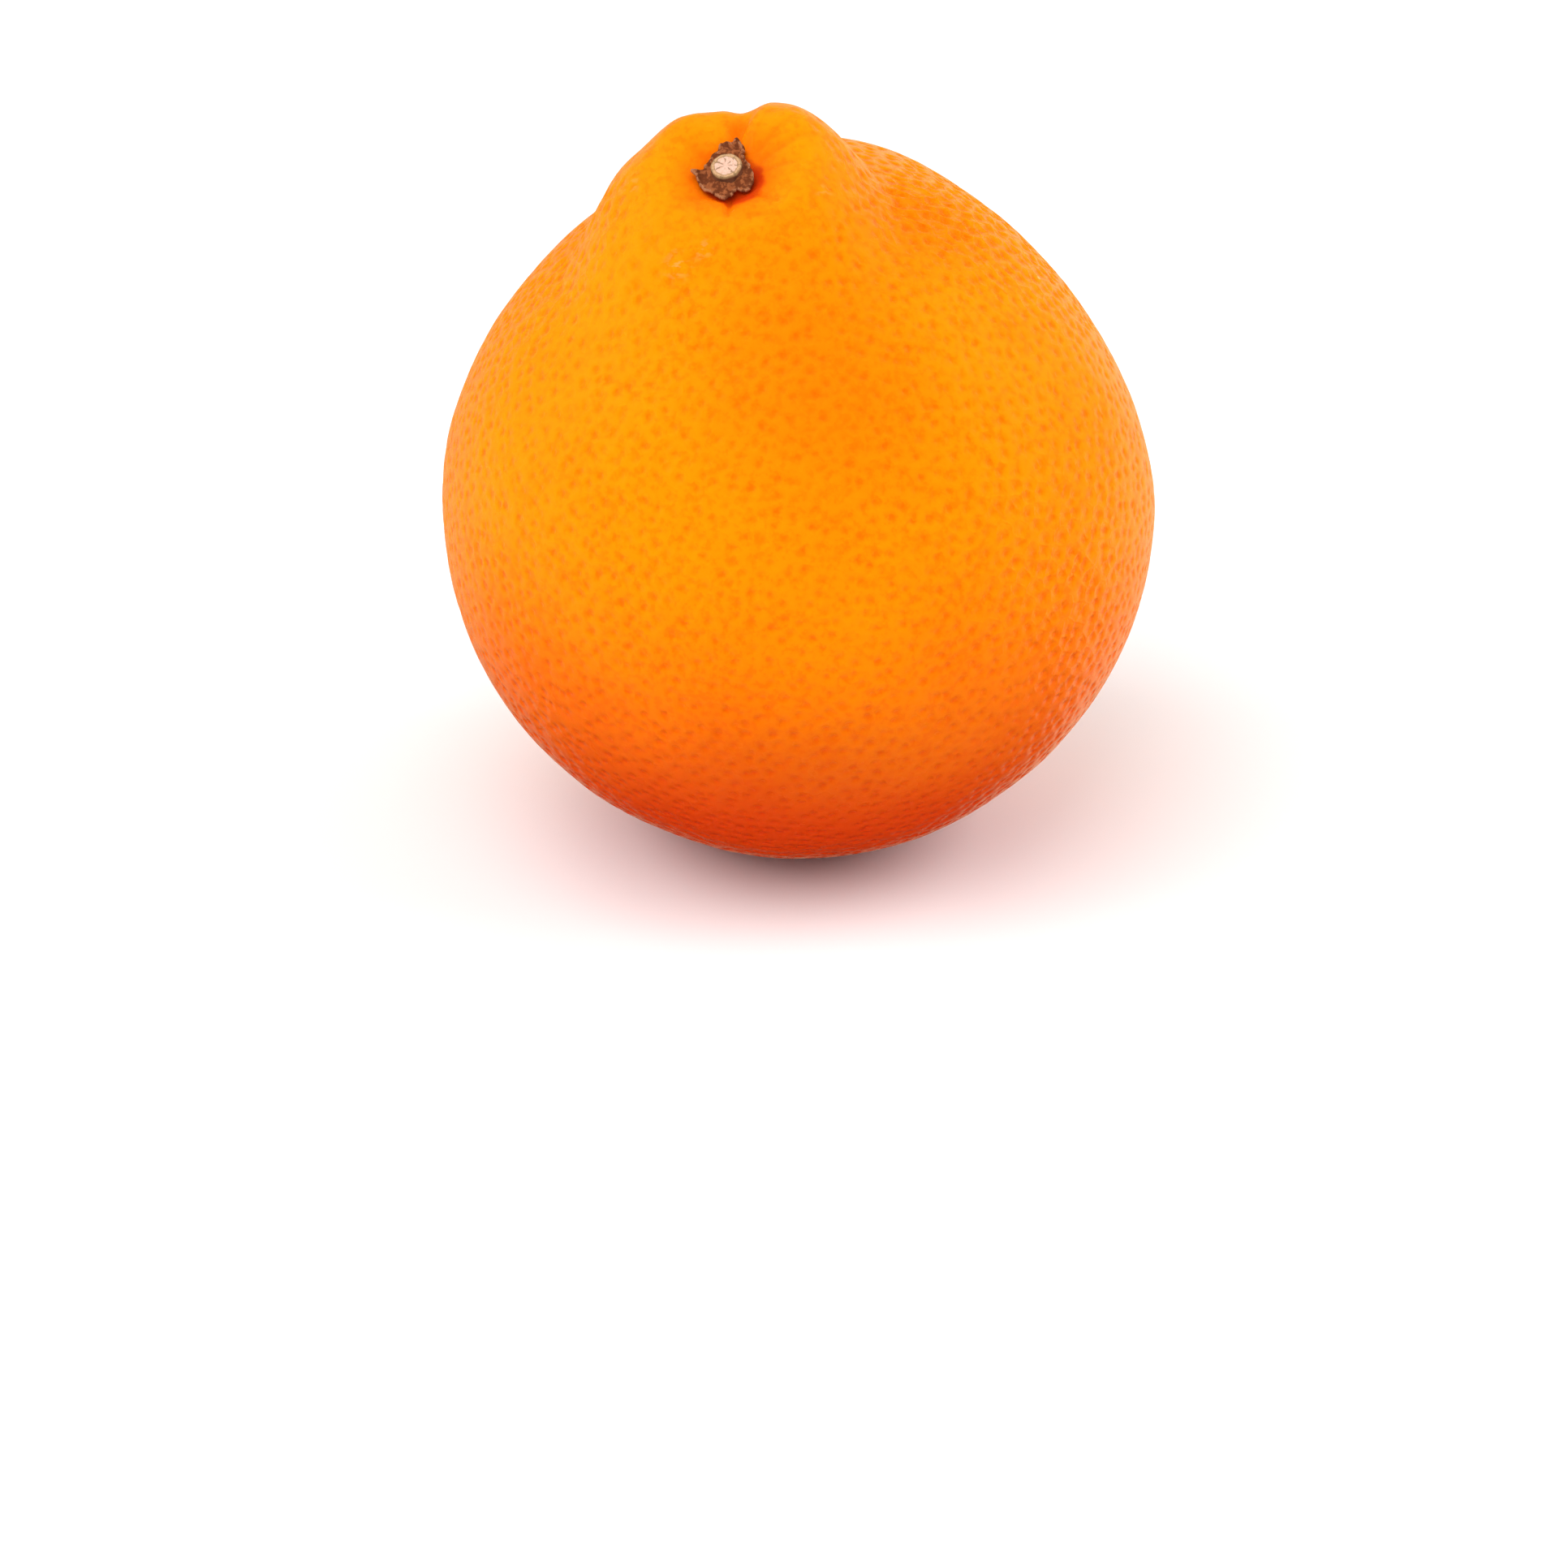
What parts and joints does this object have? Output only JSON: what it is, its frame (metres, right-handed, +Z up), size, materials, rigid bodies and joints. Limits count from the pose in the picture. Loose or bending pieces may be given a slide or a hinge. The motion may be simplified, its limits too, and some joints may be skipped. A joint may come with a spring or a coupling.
{
  "type": "tangelo",
  "caption": "Whole orange citrus fruit with a raised furrowed neck, a dried star-shaped calyx and a short cut stem, standing on a small flat spot.",
  "frame": {"origin": "centre of the small flat spot that the fruit rests on", "axes": "+Z up from the flat spot; -Y is the side that the stem end leans towards most, 14 degrees, and it leans 9.5 degrees towards -X"},
  "size_m": [0.0798, 0.08, 0.0875],
  "materials": {
    "peel": "satin",
    "dried_calyx": "matte",
    "cut_stem": "matte"
  },
  "bodies": {
    "root": {"fruit": "peel", "calyx": "dried_calyx", "stem_stub": "cut_stem"}
  },
  "joints": []
}
